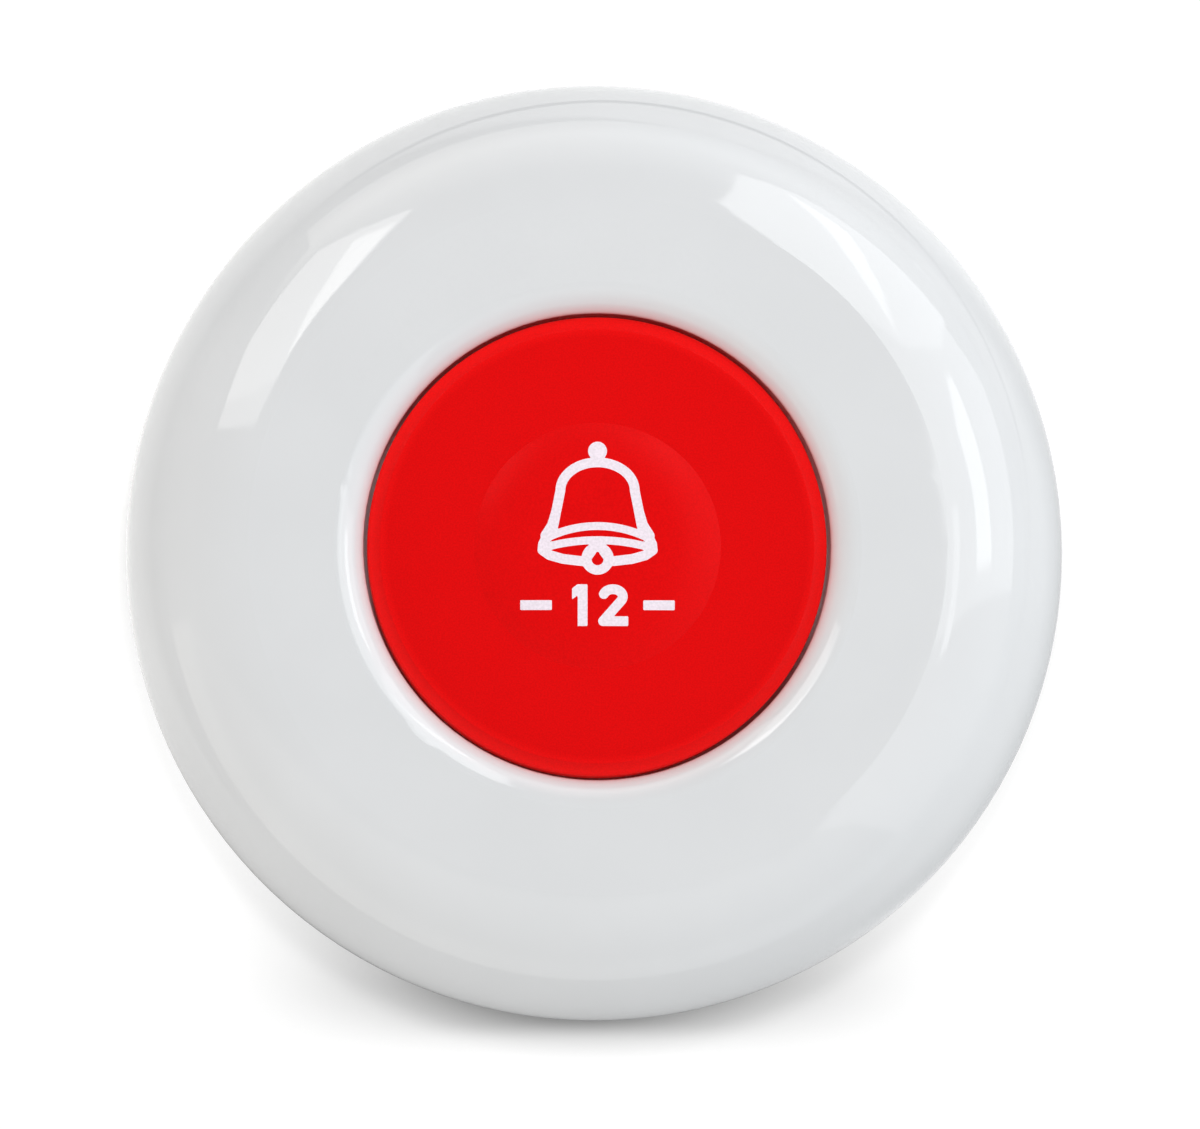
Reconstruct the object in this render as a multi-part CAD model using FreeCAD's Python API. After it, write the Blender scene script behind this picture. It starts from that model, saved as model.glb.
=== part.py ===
import FreeCAD, Part

# Waiter call button: a round table-top radio transmitter with one large push button.
# It lies on its feet, +Z is the button's axis, and z = 0 is the table. Units are millimetres.

import math
import os

from FreeCAD import Vector

# ---------------------------------------------------------------- driving dimensions

# housing
body_r = 30.0            # outer radius of the housing
foot_proud = 0.8         # how far the feet stand out of the underside
wall = 2.0               # wall of both shells
floor_t = 2.0            # floor of the base shell
shoulder_r = 8.7         # round shoulder of the dome
crown_slope = 6.0        # degrees, where the nearly flat crown meets the shoulder
crown_round = 1.9        # rounding from the crown into the button well
rim_straight = 0.6       # upright stretch of the dome under its widest place
part_gap = 0.3           # shadow gap between the two shells
base_inset = 0.1         # the base is this much smaller in radius than the dome
base_round = 5.0         # rounding from the base's side to its underside
tongue_t = 0.85          # locating tongue of the top shell
tongue_h = 1.5
tongue_root = 1.0

# clearances
clear = 0.15             # between pieces that pass each other
fit = 0.05               # screws and pegs in their holes
bore_over = 1.0          # extra length of a cutting tool past the face that it cuts
same = 1e-4              # two sizes this close are the same

# push button
cap_r = 14.6
cap_gap = 0.25           # visible gap round the button
cap_sink = 1.4           # button's flat top below the crown
cap_t = 1.5
skirt_t = 1.2
bevel_w = 0.8            # bevel round the button's edge
bevel_h = 0.45
crease_round = 0.12
edge_round = 0.25
pad_r = 7.85             # raised round pad in the button's middle
pad_flat_r = 4.6
pad_h = 0.5
button_travel = 0.8
bottom_gap = 0.1         # between the skirt and the well's floor, fully pressed
post_r = 1.9             # the post that presses the switch
hook_w = 4.0             # snap hooks that keep the button in its well
hook_t = 1.0
barb_out = 0.8
barb_h = 0.95
barb_lip = 0.35          # upright lip at the barb's tip
hook_angles = (30.0, 150.0, 270.0)
web_t = 0.8              # stiffening webs under the button
web_h = 0.7
web_angles = (0.0, 60.0, 120.0)

# button well in the top shell
well_wall = 1.4
well_floor_t = 1.2
component_room = 2.5     # between the circuit board and the well's floor
bush_side_gap = 0.55     # from the switch's corners to the collar round it
bush_wall = 1.1          # collar that centres the return spring
bush_h = 1.0
led_window_r = 1.3
gusset_t = 1.0
gusset_h = 1.8

# return spring
spring_room = 3.3        # its length at rest, between the well's floor and the button
spring_wire = 0.45
spring_turns = 4.25
spring_side_gap = 0.25   # between the collar and the spring
spring_grind = 0.09      # ground off each end of the winding
locator_gap = 0.6        # between the collar and the button's own ring, fully pressed

# tactile switch
switch_w = 6.0
switch_h = 3.2
switch_cover_t = 0.25
switch_floor_t = 1.4
switch_cavity_r = 2.35
switch_peg_r = 0.5
switch_peg_edge = 0.3    # from a peg to the switch's side
switch_peg_h = 0.15
plunger_r = 1.75
plunger_proud = 0.85
plunger_flange_t = 0.8
plunger_travel = 0.25
dome_contact_t = 0.12
leg_w = 0.7
leg_t = 0.2
leg_out = 1.5
leg_pitch = 4.5

# circuit board
board_edge = 1.35        # from the board to the housing's tongue
board_t = 1.6
board_key_r = 1.2        # keying notch in the board's edge
notch_over = 0.5         # notches in the board round the screw bosses

# battery, a 20 mm lithium coin cell, and its contacts
cell_r = 10.0
cell_h = 3.2
cell_skin = 0.25
cell_round = 0.2         # edge of the cell's cup
cell_seal_t = 0.95       # plastic ring between the cell's cup and cap
cell_crimp_h = 0.35
contact_room = 0.55      # between the cell and the circuit board
strip_t = 0.2
strip_w = 5.0
strip_foot = 2.6
leaf_l = 11.0
leaf_w = 3.0

# battery door with a coin slot, turned to lock
door_t = 1.5
door_land = 1.5          # seat of the door, outside the opening
collar_t = 0.8
collar_side_gap = 0.55   # between the cell and the door's collar
ledge_t = 1.2
lug_t = 1.05
lug_out = 1.4
lug_span = 26.0          # degrees
notch_span = 32.0
door_turn = 40.0         # from locked to free
lug_angles = (0.0, 120.0, 240.0)
cell_rib_h = 0.3
cell_rib_inset = 2.0     # rib under the cell, inside the cell's edge
cell_rib_t = 0.8
cup_wall = 1.2
slot_l = 14.0
slot_w = 2.2
slot_d = 0.7
door_seal_r = 0.3
mark_r = 0.45            # position dots on the door and beside it
mark_d = 0.25
mark_edge = 1.8          # from a dot to the door's edge

# screws: the three that close the housing, and the three that hold the board
housing_screw_edge = 6.1 # from the base's inner side to the screw's axis
housing_screw_angles = (90.0, 210.0, 330.0)
housing_screw_r = 1.1
housing_screw_l = 9.0
housing_head_r = 2.0
housing_head_h = 1.4
screw_free = 0.2         # round a screw where it only passes through
counterbore_r = 2.4
counterbore_d = 2.4
boss_r = 2.9
pillar_r = 3.3
boss_spare = 1.0         # blind bore past a screw's tip
board_screw_edge = 5.0   # from the board's edge to the screw's axis
board_screw_angles = (30.0, 150.0, 270.0)
board_screw_r = 0.9
board_screw_l = 4.6
board_head_r = 1.8
board_head_h = 1.2
post_wall = 1.3
thread_pitch = 0.8
thread_depth = 0.22
head_crown = 0.45        # shares of a pan head: height of its rounded part,
head_flat = 0.55         # radius of its flat top,
recess_depth = 0.6       # and depth, length and width of its cross recess
recess_long = 1.1
recess_wide = 0.24

# feet
foot_r = 3.5
foot_edge = 0.8          # from a foot to where the underside bends up
foot_recess = 0.8
foot_round = 0.3
foot_angles = (30.0, 150.0, 270.0)

# base ribs
rib_t = 1.0
rib_h = 1.5
rib_angles = (0.0, 60.0, 120.0, 180.0, 240.0, 300.0)

# gasket between the shells
gasket_w = 0.6
gasket_groove = 0.6
gasket_inset = 0.75      # outer face of the gasket inside the base's side

# helical antenna
antenna_r = 2.3
antenna_wire = 0.6
antenna_turns = 9.0
antenna_l = 12.6
antenna_gap = 1.55       # from the button well to the coil
antenna_lift = 0.25      # coil above the board

# chip packages: length, width, height
chip_size = (4.9, 3.9, 1.45)
chip_pos = (9.3, -8.2)
chip_lead_w = 0.42
chip_lead_out = 1.05
chip_lead_pitch = 1.27
chip_leads_per_side = 4
lead_knee = 0.45         # where a lead steps down, as a share of its reach
pin_dot_r = 0.3          # dimple beside the chip's first lead
pin_dot_d = 0.1
pin_dot_inset = 0.75
crystal_size = (3.2, 2.5, 0.8)
crystal_rim = 0.2        # ceramic foot outside the metal lid
crystal_foot_h = 0.36
crystal_pos = (11.6, -2.6)
transistor_size = (2.9, 1.3, 1.0)
transistor_pos = (-9.6, -7.2)
transistor_lead_out = 0.63
led_size = (2.0, 1.25, 0.8)
led_base_h = 0.36
led_lens = (1.1, 1.0)
led_lens_round = 0.12
led_pos = (0.0, 9.2)
inductor_size = (2.0, 1.25, 1.0)
inductor_spots = ((-12.2, -2.2), (-12.2, 1.4))
chip_part_size = (1.6, 0.8, 0.5)
capacitor_spots = ((-9.4, 5.4), (-6.6, 8.4), (7.2, 3.2), (9.0, 6.6), (14.8, -5.6), (4.6, -12.4))
resistor_spots = ((3.6, 10.6), (-3.6, 10.6), (-6.8, -10.8), (-11.6, 4.8), (13.4, 1.6))
terminal_l = 0.35        # soldered ends of the chip parts
terminal_over = 0.03     # how far they stand proud of the body

# ---------------------------------------------------------------- worked-out places

# heights, from the table up
under_z = foot_proud
floor_z = under_z + floor_t
door_z = under_z + door_t
ledge_z0 = door_z + clear
ledge_z1 = ledge_z0 + ledge_t
lug_z0 = ledge_z1 + clear
lug_z1 = lug_z0 + lug_t
cell_z0 = door_z + cell_rib_h + clear
cell_z1 = cell_z0 + cell_h
board_z0 = cell_z1 + contact_room
board_z1 = board_z0 + board_t
switch_z1 = board_z1 + switch_h
cover_z1 = switch_z1 + switch_cover_t
plunger_z1 = cover_z1 + plunger_proud
well_floor_z0 = board_z1 + component_room
well_floor_z1 = well_floor_z0 + well_floor_t
cap_under_z = well_floor_z1 + spring_room
cap_top_z = cap_under_z + cap_t
body_h = cap_top_z + cap_sink
skirt_z0 = well_floor_z1 + button_travel + bottom_gap
post_z0 = plunger_z1 + button_travel - plunger_travel + fit

# radii
well_r = cap_r + cap_gap
well_out_r = well_r + well_wall
crown_r = well_r + crown_round
bush_in_r = math.hypot(switch_w, switch_w) / 2.0 + bush_side_gap
bush_out_r = bush_in_r + bush_wall
spring_mean_r = bush_out_r + spring_side_gap + spring_wire / 2.0
base_r = body_r - base_inset
base_in_r = base_r - wall
tongue_out_r = base_in_r - clear
tongue_in_r = tongue_out_r - tongue_t
board_r = tongue_in_r - board_edge
housing_screw_ring = base_in_r - housing_screw_edge
board_screw_ring = board_r - board_screw_edge
foot_ring = base_r - base_round - foot_edge - foot_r
antenna_x = -(well_out_r + antenna_gap + antenna_r + antenna_wire / 2.0)
cell_cap_r = cell_r - cell_skin - cell_seal_t
cell_rib_r = cell_r - cell_rib_inset
collar_in_r = cell_r + collar_side_gap
collar_out_r = collar_in_r + collar_t
ledge_r = collar_out_r + clear
lug_r = collar_out_r + lug_out
door_r = ledge_r + door_land
door_seat_r = door_r + clear
cup_in_r = max(lug_r, door_r) + 2.0 * clear
cup_out_r = cup_in_r + cup_wall
skirt_in_r = cap_r - skirt_t

# the dome's outline: a round shoulder that runs into a nearly flat crown
slope = math.radians(crown_slope)
shoulder_x = body_r - shoulder_r
join_x = shoulder_x + shoulder_r * math.sin(slope)
crown_arc_r = (join_x - crown_r) / math.sin(slope)
widest_z = body_h - crown_arc_r * (1.0 - math.cos(slope)) - shoulder_r * math.cos(slope)
top_rim_z = widest_z - rim_straight
base_rim_z = top_rim_z - part_gap

# ---------------------------------------------------------------- helpers


def ring_point(radius, angle, z=0.0):
    """Point at a radius and an angle in degrees, round the button's axis."""
    turn = math.radians(angle)
    return Vector(radius * math.cos(turn), radius * math.sin(turn), z)


def disc(radius, z0, z1, centre=(0.0, 0.0)):
    """Upright cylinder between two heights."""
    return Part.makeCylinder(radius, z1 - z0, Vector(centre[0], centre[1], z0))


def tube(outer, inner, z0, z1, centre=(0.0, 0.0)):
    """Upright tube between two heights."""
    bore = disc(inner, z0 - bore_over, z1 + bore_over, centre)
    return disc(outer, z0, z1, centre).cut(bore)


def block(size, z0, centre=(0.0, 0.0)):
    """Upright box of (length, width, height), centred on a point."""
    length, width, height = size
    corner = Vector(centre[0] - length / 2.0, centre[1] - width / 2.0, z0)
    return Part.makeBox(length, width, height, corner)


def spun(edges):
    """Solid of revolution about Z from the edges of a closed outline in the XZ plane."""
    face = Part.Face(Part.Wire(edges))
    return face.revolve(Vector(0, 0, 0), Vector(0, 0, 1), 360)


def line(x0, z0, x1, z1):
    """Straight edge in the XZ plane."""
    return Part.makeLine(Vector(x0, 0, z0), Vector(x1, 0, z1))


def arc(centre, radius, start, end):
    """Arc edge in the XZ plane; angles in degrees from +X towards +Z."""
    def at(angle):
        turn = math.radians(angle)
        return Vector(centre[0] + radius * math.cos(turn), 0, centre[1] + radius * math.sin(turn))
    return Part.Arc(at(start), at((start + end) / 2.0), at(end)).toShape()


def polyline(points):
    """Edges of a closed outline through (x, z) points."""
    closed = list(points) + [points[0]]
    return [line(*closed[i], *closed[i + 1]) for i in range(len(points))]


def sector(outer, inner, z0, z1, middle, span):
    """Part of a tube that spans some degrees about a middle angle."""
    start = Vector(inner, 0, z0)
    face = Part.makePolygon([start, Vector(outer, 0, z0), Vector(outer, 0, z1),
                             Vector(inner, 0, z1), start])
    piece = Part.Face(face).revolve(Vector(0, 0, 0), Vector(0, 0, 1), span)
    piece.rotate(Vector(0, 0, 0), Vector(0, 0, 1), middle - span / 2.0)
    return piece


def spoke(inner, outer, thickness, z0, z1, angle):
    """Upright plate that runs outward from the axis at an angle."""
    plate = Part.makeBox(outer - inner, thickness, z1 - z0, Vector(inner, -thickness / 2.0, z0))
    plate.rotate(Vector(0, 0, 0), Vector(0, 0, 1), angle)
    return plate


def circle_edges(shape, radius, z):
    """Edges of a solid that are full circles of a radius at a height."""
    found = []
    for edge in shape.Edges:
        curve = edge.Curve
        if isinstance(curve, Part.Circle) and abs(curve.Radius - radius) < same:
            if abs(curve.Center.z - z) < same:
                found.append(edge)
    return found


def coil(mean_r, wire, turns, length, base):
    """Helical wire that stands on a point, along +Z, swept in equal lengths of up to a turn."""
    count = math.ceil(turns)
    rise = length / count
    path = []
    for i in range(count):
        stretch = Part.makeHelix(length / turns, rise, mean_r)
        stretch.rotate(Vector(0, 0, 0), Vector(0, 0, 1), 360.0 * turns / count * i)
        stretch.translate(base + Vector(0, 0, rise * i))
        path.extend(stretch.Edges)
    start = path[0].FirstParameter
    section = Part.makeCircle(wire / 2.0, path[0].valueAt(start), path[0].tangentAt(start))
    return Part.Wire(path).makePipeShell([Part.Wire(section)], True, True)


def screw(shaft_r, length, head_r, head_h):
    """Pan-head tapping screw: seat of the head at z = 0, point towards -Z."""
    crown_z = head_h * (1.0 - head_crown)
    points = [(0.0, head_h), (head_r * head_flat, head_h), (head_r, crown_z), (head_r, 0.0),
              (shaft_r, 0.0)]
    ridges = int((length - shaft_r) / thread_pitch)
    for i in range(ridges):
        points.append((shaft_r - thread_depth, -(i + 0.5) * thread_pitch))
        points.append((shaft_r, -(i + 1.0) * thread_pitch))
    points.append((0.0, -length))
    body = spun(polyline(points))
    depth = head_h * recess_depth
    long, wide = head_r * recess_long, head_r * recess_wide
    for span in ((long, wide), (wide, long)):
        body = body.cut(block((span[0], span[1], depth + bore_over), head_h - depth))
    return body


def save(name, *solids):
    """Write one named piece, which may be a group of separate solids."""
    shape = solids[0] if len(solids) == 1 else Part.makeCompound(list(solids))
    for solid in shape.Solids:
        if not solid.isValid() or not solid.isClosed():
            raise RuntimeError("open or invalid solid in " + name)
    shape.exportStep(os.path.join("parts", name + ".step"))
    print("%-24s solids %2d  volume %9.2f" % (name, len(shape.Solids), shape.Volume))


# ---------------------------------------------------------------- housing


def dome(inset):
    """Filled dome, its outline moved inward by an inset."""
    side = body_r - inset
    shoulder = shoulder_r - inset
    crown = crown_arc_r - inset
    top = body_h - inset
    return spun([
        line(0.0, top_rim_z, side, top_rim_z),
        line(side, top_rim_z, side, widest_z),
        arc((shoulder_x, widest_z), shoulder, 0.0, 90.0 - crown_slope),
        arc((crown_r, body_h - crown_arc_r), crown, 90.0 - crown_slope, 90.0),
        line(crown_r, top, 0.0, top),
        line(0.0, top, 0.0, top_rim_z),
    ])


def well_cove():
    """Corner of material that the rounding into the button well takes away."""
    centre = (crown_r, body_h - crown_round)
    return spun([
        arc(centre, crown_round, 90.0, 180.0),
        line(well_r, body_h - crown_round, well_r, body_h + bore_over),
        line(well_r, body_h + bore_over, crown_r, body_h + bore_over),
        line(crown_r, body_h + bore_over, crown_r, body_h),
    ])


def make_top_shell():
    """Dome with the button's well, its floor, screw bosses, gussets and tongue."""
    filled = dome(0.0)
    half_wall = dome(wall / 2.0)
    shell = filled.cut(dome(wall))
    shell = shell.fuse(disc(well_out_r, well_floor_z0, body_h).common(filled))
    shell = shell.cut(disc(well_r, well_floor_z1, body_h + bore_over))
    shell = shell.fuse(disc(bush_out_r, well_floor_z0, well_floor_z1 + bush_h))
    shell = shell.cut(disc(bush_in_r, well_floor_z0 - bore_over, body_h))
    shell = shell.cut(well_cove())

    tongue = tube(tongue_out_r, tongue_in_r, top_rim_z - tongue_h, top_rim_z + tongue_root)
    root = tube(body_r - wall / 2.0, tongue_in_r, top_rim_z, top_rim_z + tongue_root)
    shell = shell.fuse(tongue).fuse(root)

    for angle in rib_angles:
        gusset = spoke(well_out_r - well_wall / 2.0, body_r, gusset_t,
                       body_h - wall - gusset_h, body_h, angle)
        shell = shell.fuse(gusset.common(half_wall))
    for angle in housing_screw_angles:
        centre = ring_point(housing_screw_ring, angle)
        boss = disc(boss_r, board_z0, body_h, (centre.x, centre.y))
        lower = disc(boss_r, board_z0, top_rim_z, (centre.x, centre.y))
        shell = shell.fuse(boss.common(half_wall).fuse(lower))
    for angle in housing_screw_angles:
        centre = ring_point(housing_screw_ring, angle)
        tip_z = under_z + counterbore_d + housing_screw_l
        shell = shell.cut(disc(housing_screw_r + fit, board_z0 - bore_over, tip_z + boss_spare,
                               (centre.x, centre.y)))

    slot_in = skirt_in_r - hook_t - clear
    slot_out = skirt_in_r + clear
    for angle in hook_angles:
        shell = shell.cut(spoke(slot_in, slot_out, hook_w + 2.0 * clear,
                                well_floor_z0 - bore_over, well_floor_z1 + bore_over, angle))
    shell = shell.cut(disc(led_window_r, well_floor_z0 - bore_over, well_floor_z1 + bore_over,
                           led_pos))
    return shell.removeSplitter()


def bowl(side_inset, floor_inset):
    """Filled base, its side and its underside moved inward."""
    side = base_r - side_inset
    bottom = under_z + floor_inset
    bend = max(base_round - max(side_inset, floor_inset), clear)
    return spun([
        line(0.0, bottom, side - bend, bottom),
        arc((side - bend, bottom + bend), bend, -90.0, 0.0),
        line(side, bottom + bend, side, base_rim_z),
        line(side, base_rim_z, 0.0, base_rim_z),
        line(0.0, base_rim_z, 0.0, bottom),
    ])


def make_base_shell():
    """Tray with the battery cup, the door's seat, screw pillars, board posts and ribs."""
    half_wall = bowl(wall / 2.0, floor_t / 2.0)
    tray = bowl(0.0, 0.0).cut(bowl(wall, floor_t))
    for angle in rib_angles:
        rib = spoke(cup_out_r - cup_wall / 2.0, base_r, rib_t, under_z, floor_z + rib_h, angle)
        tray = tray.fuse(rib.common(half_wall))
    cup_z = cell_z1 - clear
    tray = tray.fuse(disc(cup_out_r, floor_z - floor_t / 2.0, cup_z))
    tray = tray.cut(disc(cup_in_r, ledge_z1, cup_z + bore_over))
    tray = tray.cut(disc(ledge_r, under_z - bore_over, cup_z + bore_over))
    tray = tray.cut(disc(door_seat_r, under_z - bore_over, ledge_z0))
    for angle in lug_angles:
        tray = tray.cut(sector(lug_r + clear, ledge_r - clear, ledge_z0 - clear,
                               ledge_z1 + clear, angle - door_turn, notch_span))

    for angle in housing_screw_angles:
        centre = ring_point(housing_screw_ring, angle)
        spot = (centre.x, centre.y)
        tray = tray.fuse(disc(pillar_r, floor_z - floor_t / 2.0, board_z0, spot))
        tray = tray.cut(disc(housing_screw_r + screw_free, under_z, board_z0 + bore_over, spot))
        tray = tray.cut(disc(counterbore_r, under_z - bore_over, under_z + counterbore_d, spot))
    for angle in board_screw_angles:
        centre = ring_point(board_screw_ring, angle)
        spot = (centre.x, centre.y)
        tip_z = board_z1 - board_screw_l
        tray = tray.fuse(disc(board_screw_r + fit + post_wall, floor_z - floor_t / 2.0,
                              board_z0, spot))
        tray = tray.cut(disc(board_screw_r + fit, tip_z - clear, board_z0 + bore_over, spot))
    for angle in foot_angles:
        centre = ring_point(foot_ring, angle)
        tray = tray.cut(disc(foot_r + clear, under_z - bore_over, under_z + foot_recess,
                             (centre.x, centre.y)))

    groove_out = base_r - gasket_inset + fit
    groove_in = base_r - gasket_inset - gasket_w - fit
    tray = tray.cut(tube(groove_out, groove_in, base_rim_z - gasket_groove,
                         base_rim_z + bore_over))
    for turn in (0.0, door_turn):
        spot = ring_point(door_seat_r + mark_edge, -90.0 - turn)
        tray = tray.cut(disc(mark_r, under_z - bore_over, under_z + mark_d, (spot.x, spot.y)))
    return tray.removeSplitter()


def make_gasket():
    """Square-section ring in the groove of the base's rim, pressed by the dome's rim."""
    outer = base_r - gasket_inset
    return tube(outer, outer - gasket_w, base_rim_z - gasket_groove, top_rim_z)


def make_feet():
    """Rubber discs in the recesses of the underside, rounded where they meet the table."""
    feet = []
    for angle in foot_angles:
        pad = disc(foot_r, 0.0, under_z + foot_recess)
        pad = pad.makeFillet(foot_round, circle_edges(pad, foot_r, 0.0))
        pad.translate(ring_point(foot_ring, angle))
        feet.append(pad)
    return feet


def make_housing_screws():
    """Three screws up through the base's pillars into the dome's bosses."""
    screws = []
    for angle in housing_screw_angles:
        piece = screw(housing_screw_r, housing_screw_l, housing_head_r, housing_head_h)
        piece.rotate(Vector(0, 0, 0), Vector(1, 0, 0), 180)
        piece.translate(ring_point(housing_screw_ring, angle, under_z + counterbore_d))
        screws.append(piece)
    return screws


# ---------------------------------------------------------------- push button


def make_button_cap():
    """Cap with a bevelled edge, a raised pad, a skirt, a post, webs and snap hooks."""
    pad_w = pad_r - pad_flat_r
    pad_arc_r = (pad_w ** 2 + pad_h ** 2) / (2.0 * pad_h)
    pad_angle = math.degrees(math.asin(pad_w / pad_arc_r))
    pad_top_z = cap_top_z + pad_h
    bevel_x = cap_r - bevel_w
    bevel_z = cap_top_z - bevel_h
    cap = spun([
        line(0.0, cap_under_z, 0.0, pad_top_z),
        line(0.0, pad_top_z, pad_flat_r, pad_top_z),
        arc((pad_flat_r, pad_top_z - pad_arc_r), pad_arc_r, 90.0, 90.0 - pad_angle),
        line(pad_r, cap_top_z, bevel_x, cap_top_z),
        line(bevel_x, cap_top_z, cap_r, bevel_z),
        line(cap_r, bevel_z, cap_r, skirt_z0),
        line(cap_r, skirt_z0, skirt_in_r, skirt_z0),
        line(skirt_in_r, skirt_z0, skirt_in_r, cap_under_z),
        line(skirt_in_r, cap_under_z, 0.0, cap_under_z),
    ])
    cap = cap.makeFillet(crease_round, circle_edges(cap, bevel_x, cap_top_z))
    cap = cap.makeFillet(edge_round, circle_edges(cap, cap_r, bevel_z))

    cap = cap.fuse(disc(post_r, post_z0, cap_under_z + cap_t / 2.0))
    ring_z = well_floor_z1 + bush_h + button_travel + locator_gap
    cap = cap.fuse(tube(bush_out_r, bush_out_r - web_t, ring_z, cap_under_z + cap_t / 2.0))
    for angle in web_angles:
        for way in (angle, angle + 180.0):
            cap = cap.fuse(spoke(post_r - clear, skirt_in_r + skirt_t / 2.0, web_t,
                                 cap_under_z - web_h, cap_under_z + cap_t / 2.0, way))
    seat = tube(spring_mean_r + spring_wire, bush_out_r, cap_under_z - web_h - bore_over,
                cap_under_z)
    cap = cap.cut(seat)

    leg_in = skirt_in_r - hook_t
    barb_z1 = well_floor_z0 - clear
    barb_z0 = barb_z1 - barb_h
    for angle in hook_angles:
        leg = Part.makeBox(hook_t + skirt_t / 2.0, hook_w, cap_under_z + cap_t / 2.0 - skirt_z0,
                           Vector(leg_in, -hook_w / 2.0, skirt_z0))
        stem = Part.makeBox(hook_t, hook_w, skirt_z0 - barb_z0,
                            Vector(leg_in, -hook_w / 2.0, barb_z0))
        tip_r = skirt_in_r + barb_out
        outline = polyline([(skirt_in_r, barb_z0), (tip_r, barb_z1 - barb_lip),
                            (tip_r, barb_z1), (skirt_in_r, barb_z1)])
        barb = Part.Face(Part.Wire(outline)).extrude(Vector(0, hook_w, 0))
        barb.translate(Vector(0, -hook_w / 2.0, 0))
        hook = leg.fuse(stem).fuse(barb)
        hook.rotate(Vector(0, 0, 0), Vector(0, 0, 1), angle)
        cap = cap.fuse(hook)
    return cap.removeSplitter()


def make_return_spring():
    """Compression spring round the collar, with flat ground ends."""
    z0, z1 = well_floor_z1, cap_under_z
    wire = coil(spring_mean_r, spring_wire, spring_turns, z1 - z0 - spring_wire,
                Vector(0, 0, z0 + spring_wire / 2.0))
    keep = disc(spring_mean_r + spring_wire, z0 + spring_grind, z1 - spring_grind)
    ground = wire.common(keep)
    end_t = 2.0 * spring_grind
    ends = []
    for z in (z0, z1 - end_t):
        ends.append(tube(spring_mean_r + spring_wire / 2.0, spring_mean_r - spring_wire / 2.0,
                         z, z + end_t))
    return ground.fuse(ends).removeSplitter()


# ---------------------------------------------------------------- switch


def make_switch_housing():
    """Plastic body with a round cavity and four pegs that hold its cover."""
    body = block((switch_w, switch_w, switch_h), board_z1)
    body = body.cut(disc(switch_cavity_r, board_z1 + switch_floor_t, switch_z1 + bore_over))
    for spot in corner_spots():
        body = body.fuse(disc(switch_peg_r, switch_z1, cover_z1 + switch_peg_h, spot))
    return body.removeSplitter()


def corner_spots():
    """Centres of the four pegs near the switch's corners."""
    reach = switch_w / 2.0 - switch_peg_r - switch_peg_edge
    return [(sx * reach, sy * reach) for sx in (-1, 1) for sy in (-1, 1)]


def make_switch_cover():
    """Steel plate over the cavity, with holes for the plunger and the pegs."""
    plate = block((switch_w, switch_w, switch_cover_t), switch_z1)
    plate = plate.cut(disc(plunger_r + clear, switch_z1 - bore_over, cover_z1 + bore_over))
    for spot in corner_spots():
        plate = plate.cut(disc(switch_peg_r + fit, switch_z1 - bore_over, cover_z1 + bore_over,
                               spot))
    return plate


def make_plunger():
    """Round plunger with a flange that the cover holds in."""
    flange_r = switch_cavity_r - clear
    flange_z1 = switch_z1 - clear
    stem = disc(plunger_r, flange_z1 - plunger_flange_t, plunger_z1)
    flange = disc(flange_r, flange_z1 - plunger_flange_t, flange_z1)
    return stem.fuse(flange).removeSplitter()


def make_dome_contact():
    """Thin domed contact that clicks under the plunger and pushes it back."""
    span_r = switch_cavity_r - fit
    z0 = board_z1 + switch_floor_t
    z1 = switch_z1 - clear - plunger_flange_t - fit
    rise = z1 - z0
    ball_r = (span_r ** 2 + rise ** 2) / (2.0 * rise)
    centre = Vector(0, 0, z1 - ball_r)
    outer = Part.makeSphere(ball_r, centre)
    inner = Part.makeSphere(ball_r - dome_contact_t, centre)
    return outer.cut(inner).common(disc(ball_r, z0, z1 + clear))


def make_switch_legs():
    """Four tinned legs out of the switch's sides, soldered flat on the board."""
    legs = []
    for sx in (-1, 1):
        for sy in (-1, 1):
            y = sy * leg_pitch / 2.0
            x = sx * (switch_w / 2.0 + leg_out / 2.0)
            legs.append(block((leg_out, leg_w, leg_t), board_z1, (x, y)))
    return legs


# ---------------------------------------------------------------- circuit board


def make_board():
    """Round board with notches for the housing's bosses and holes for its screws."""
    board = disc(board_r, board_z0, board_z1)
    for angle in housing_screw_angles:
        centre = ring_point(housing_screw_ring, angle)
        reach = max(boss_r, pillar_r) + notch_over
        notch = disc(reach, board_z0 - bore_over, board_z1 + bore_over, (centre.x, centre.y))
        mouth = spoke(housing_screw_ring, board_r + bore_over, 2.0 * reach,
                      board_z0 - bore_over, board_z1 + bore_over, angle)
        board = board.cut(notch.fuse(mouth))
    for angle in board_screw_angles:
        centre = ring_point(board_screw_ring, angle)
        board = board.cut(disc(board_screw_r + screw_free, board_z0 - bore_over,
                               board_z1 + bore_over, (centre.x, centre.y)))
    key = ring_point(board_r, 0.0)
    return board.cut(disc(board_key_r, board_z0 - bore_over, board_z1 + bore_over,
                          (key.x, key.y)))


def make_board_screws():
    """Three short screws that hold the board on the base's posts."""
    screws = []
    for angle in board_screw_angles:
        piece = screw(board_screw_r, board_screw_l, board_head_r, board_head_h)
        piece.translate(ring_point(board_screw_ring, angle, board_z1))
        screws.append(piece)
    return screws


def gull_lead(out, width, height):
    """Lead that leaves a package half way up, steps down and lies on the board."""
    mid = height / 2.0
    t = leg_t
    knee = out * lead_knee
    outline = [(0.0, mid), (knee, mid), (knee, t), (out, t), (out, 0.0),
               (knee - t, 0.0), (knee - t, mid - t), (0.0, mid - t)]
    points = [Vector(x, -width / 2.0, z) for x, z in outline]
    face = Part.Face(Part.makePolygon(points + [points[0]]))
    return face.extrude(Vector(0, width, 0))


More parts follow.
